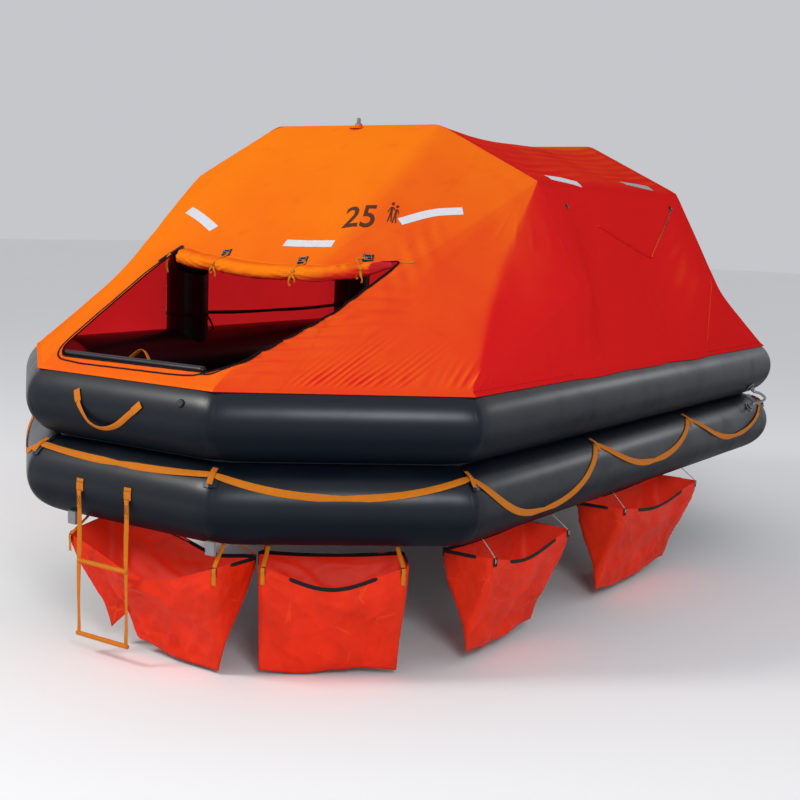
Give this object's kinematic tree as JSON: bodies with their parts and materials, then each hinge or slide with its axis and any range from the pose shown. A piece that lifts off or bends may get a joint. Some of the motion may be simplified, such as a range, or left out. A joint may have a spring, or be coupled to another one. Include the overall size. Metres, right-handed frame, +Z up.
{
  "type": "inflatable life raft",
  "caption": "Canopied inflatable life raft: two stacked buoyancy tubes, floor, arch tubes, canopy with a doorway at each end, lifelines, swinging boarding ladders and ballast bags.",
  "frame": {"origin": "middle of the plan at the empty raft's waterline, 0.05 m above the lower tube's underside", "axes": "+Z up, +Y along the raft towards its far end, +X to the right seen from the near door end"},
  "size_m": [3.0124, 5.351, 2.5783],
  "materials": {
    "tube": "satin black rubber-coated cloth with a blue-grey sheen",
    "floor": "matt coated cloth, quilted",
    "canopy": "orange coated canopy cloth, low sheen, creased",
    "bag": "thin orange-red coated cloth with black hems",
    "webbing": "woven orange webbing",
    "dark_webbing": "woven black webbing",
    "cylinder_steel": "grey painted steel",
    "pale_plastic": "moulded, satin",
    "dark_plastic": "moulded, satin",
    "hose": "braided grey hose"
  },
  "bodies": {
    "raft": {"lower_buoyancy_tube": "tube", "upper_buoyancy_tube": "tube", "near_arch_tube": "tube", "far_arch_tube": "tube", "painter_patch": "tube", "floor": "floor", "near_end_canopy": "canopy", "far_end_canopy": "canopy", "roof_canopy": "canopy", "right_side_canopy": "canopy", "left_side_canopy": "canopy", "near_door_roll": "canopy", "far_door_roll": "canopy", "outer_lifeline": "webbing", "left_inner_lifeline": "dark_webbing", "right_inner_lifeline": "dark_webbing", "near_grab_strap": "webbing", "near_sill_handle": "webbing", "near_ladder_left_loop": "webbing", "near_ladder_right_loop": "webbing", "far_grab_strap": "webbing", "far_sill_handle": "webbing", "far_ladder_left_loop": "webbing", "far_ladder_right_loop": "webbing", "near_end_ballast_bag": "bag", "near_corner_ballast_bag": "bag", "right_fore_ballast_bag": "bag", "right_aft_ballast_bag": "bag", "far_end_ballast_bag": "bag", "far_corner_ballast_bag": "bag", "left_aft_ballast_bag": "bag", "left_fore_ballast_bag": "bag", "top_light": "pale_plastic", "gas_cylinder": "cylinder_steel", "cylinder_foot_band": "dark_webbing", "cylinder_neck_band": "dark_webbing", "lower_inlet_valve": "pale_plastic", "upper_inlet_valve": "pale_plastic", "inflation_hose": "hose", "upper_relief_valve": "dark_plastic", "lower_relief_valve": "dark_plastic", "outer_light_battery": "pale_plastic", "inner_light_battery": "pale_plastic"},
    "near_ladder": {"near_ladder_left_strap": "webbing", "near_ladder_right_strap": "webbing", "near_ladder_upper_rung": "webbing", "near_ladder_lower_rung": "webbing"},
    "far_ladder": {"far_ladder_left_strap": "webbing", "far_ladder_right_strap": "webbing", "far_ladder_upper_rung": "webbing", "far_ladder_lower_rung": "webbing"}
  },
  "joints": [
    {"name": "near_ladder_swing", "type": "hinge", "parent": "raft", "child": "near_ladder", "pos_m": [0, -2.6645, 0.11], "axis": [-1, 0, 0], "range_deg": [-4, 90]},
    {"name": "far_ladder_swing", "type": "hinge", "parent": "raft", "child": "far_ladder", "pos_m": [0, 2.6645, 0.11], "axis": [1, 0, 0], "range_deg": [-4, 90]}
  ]
}
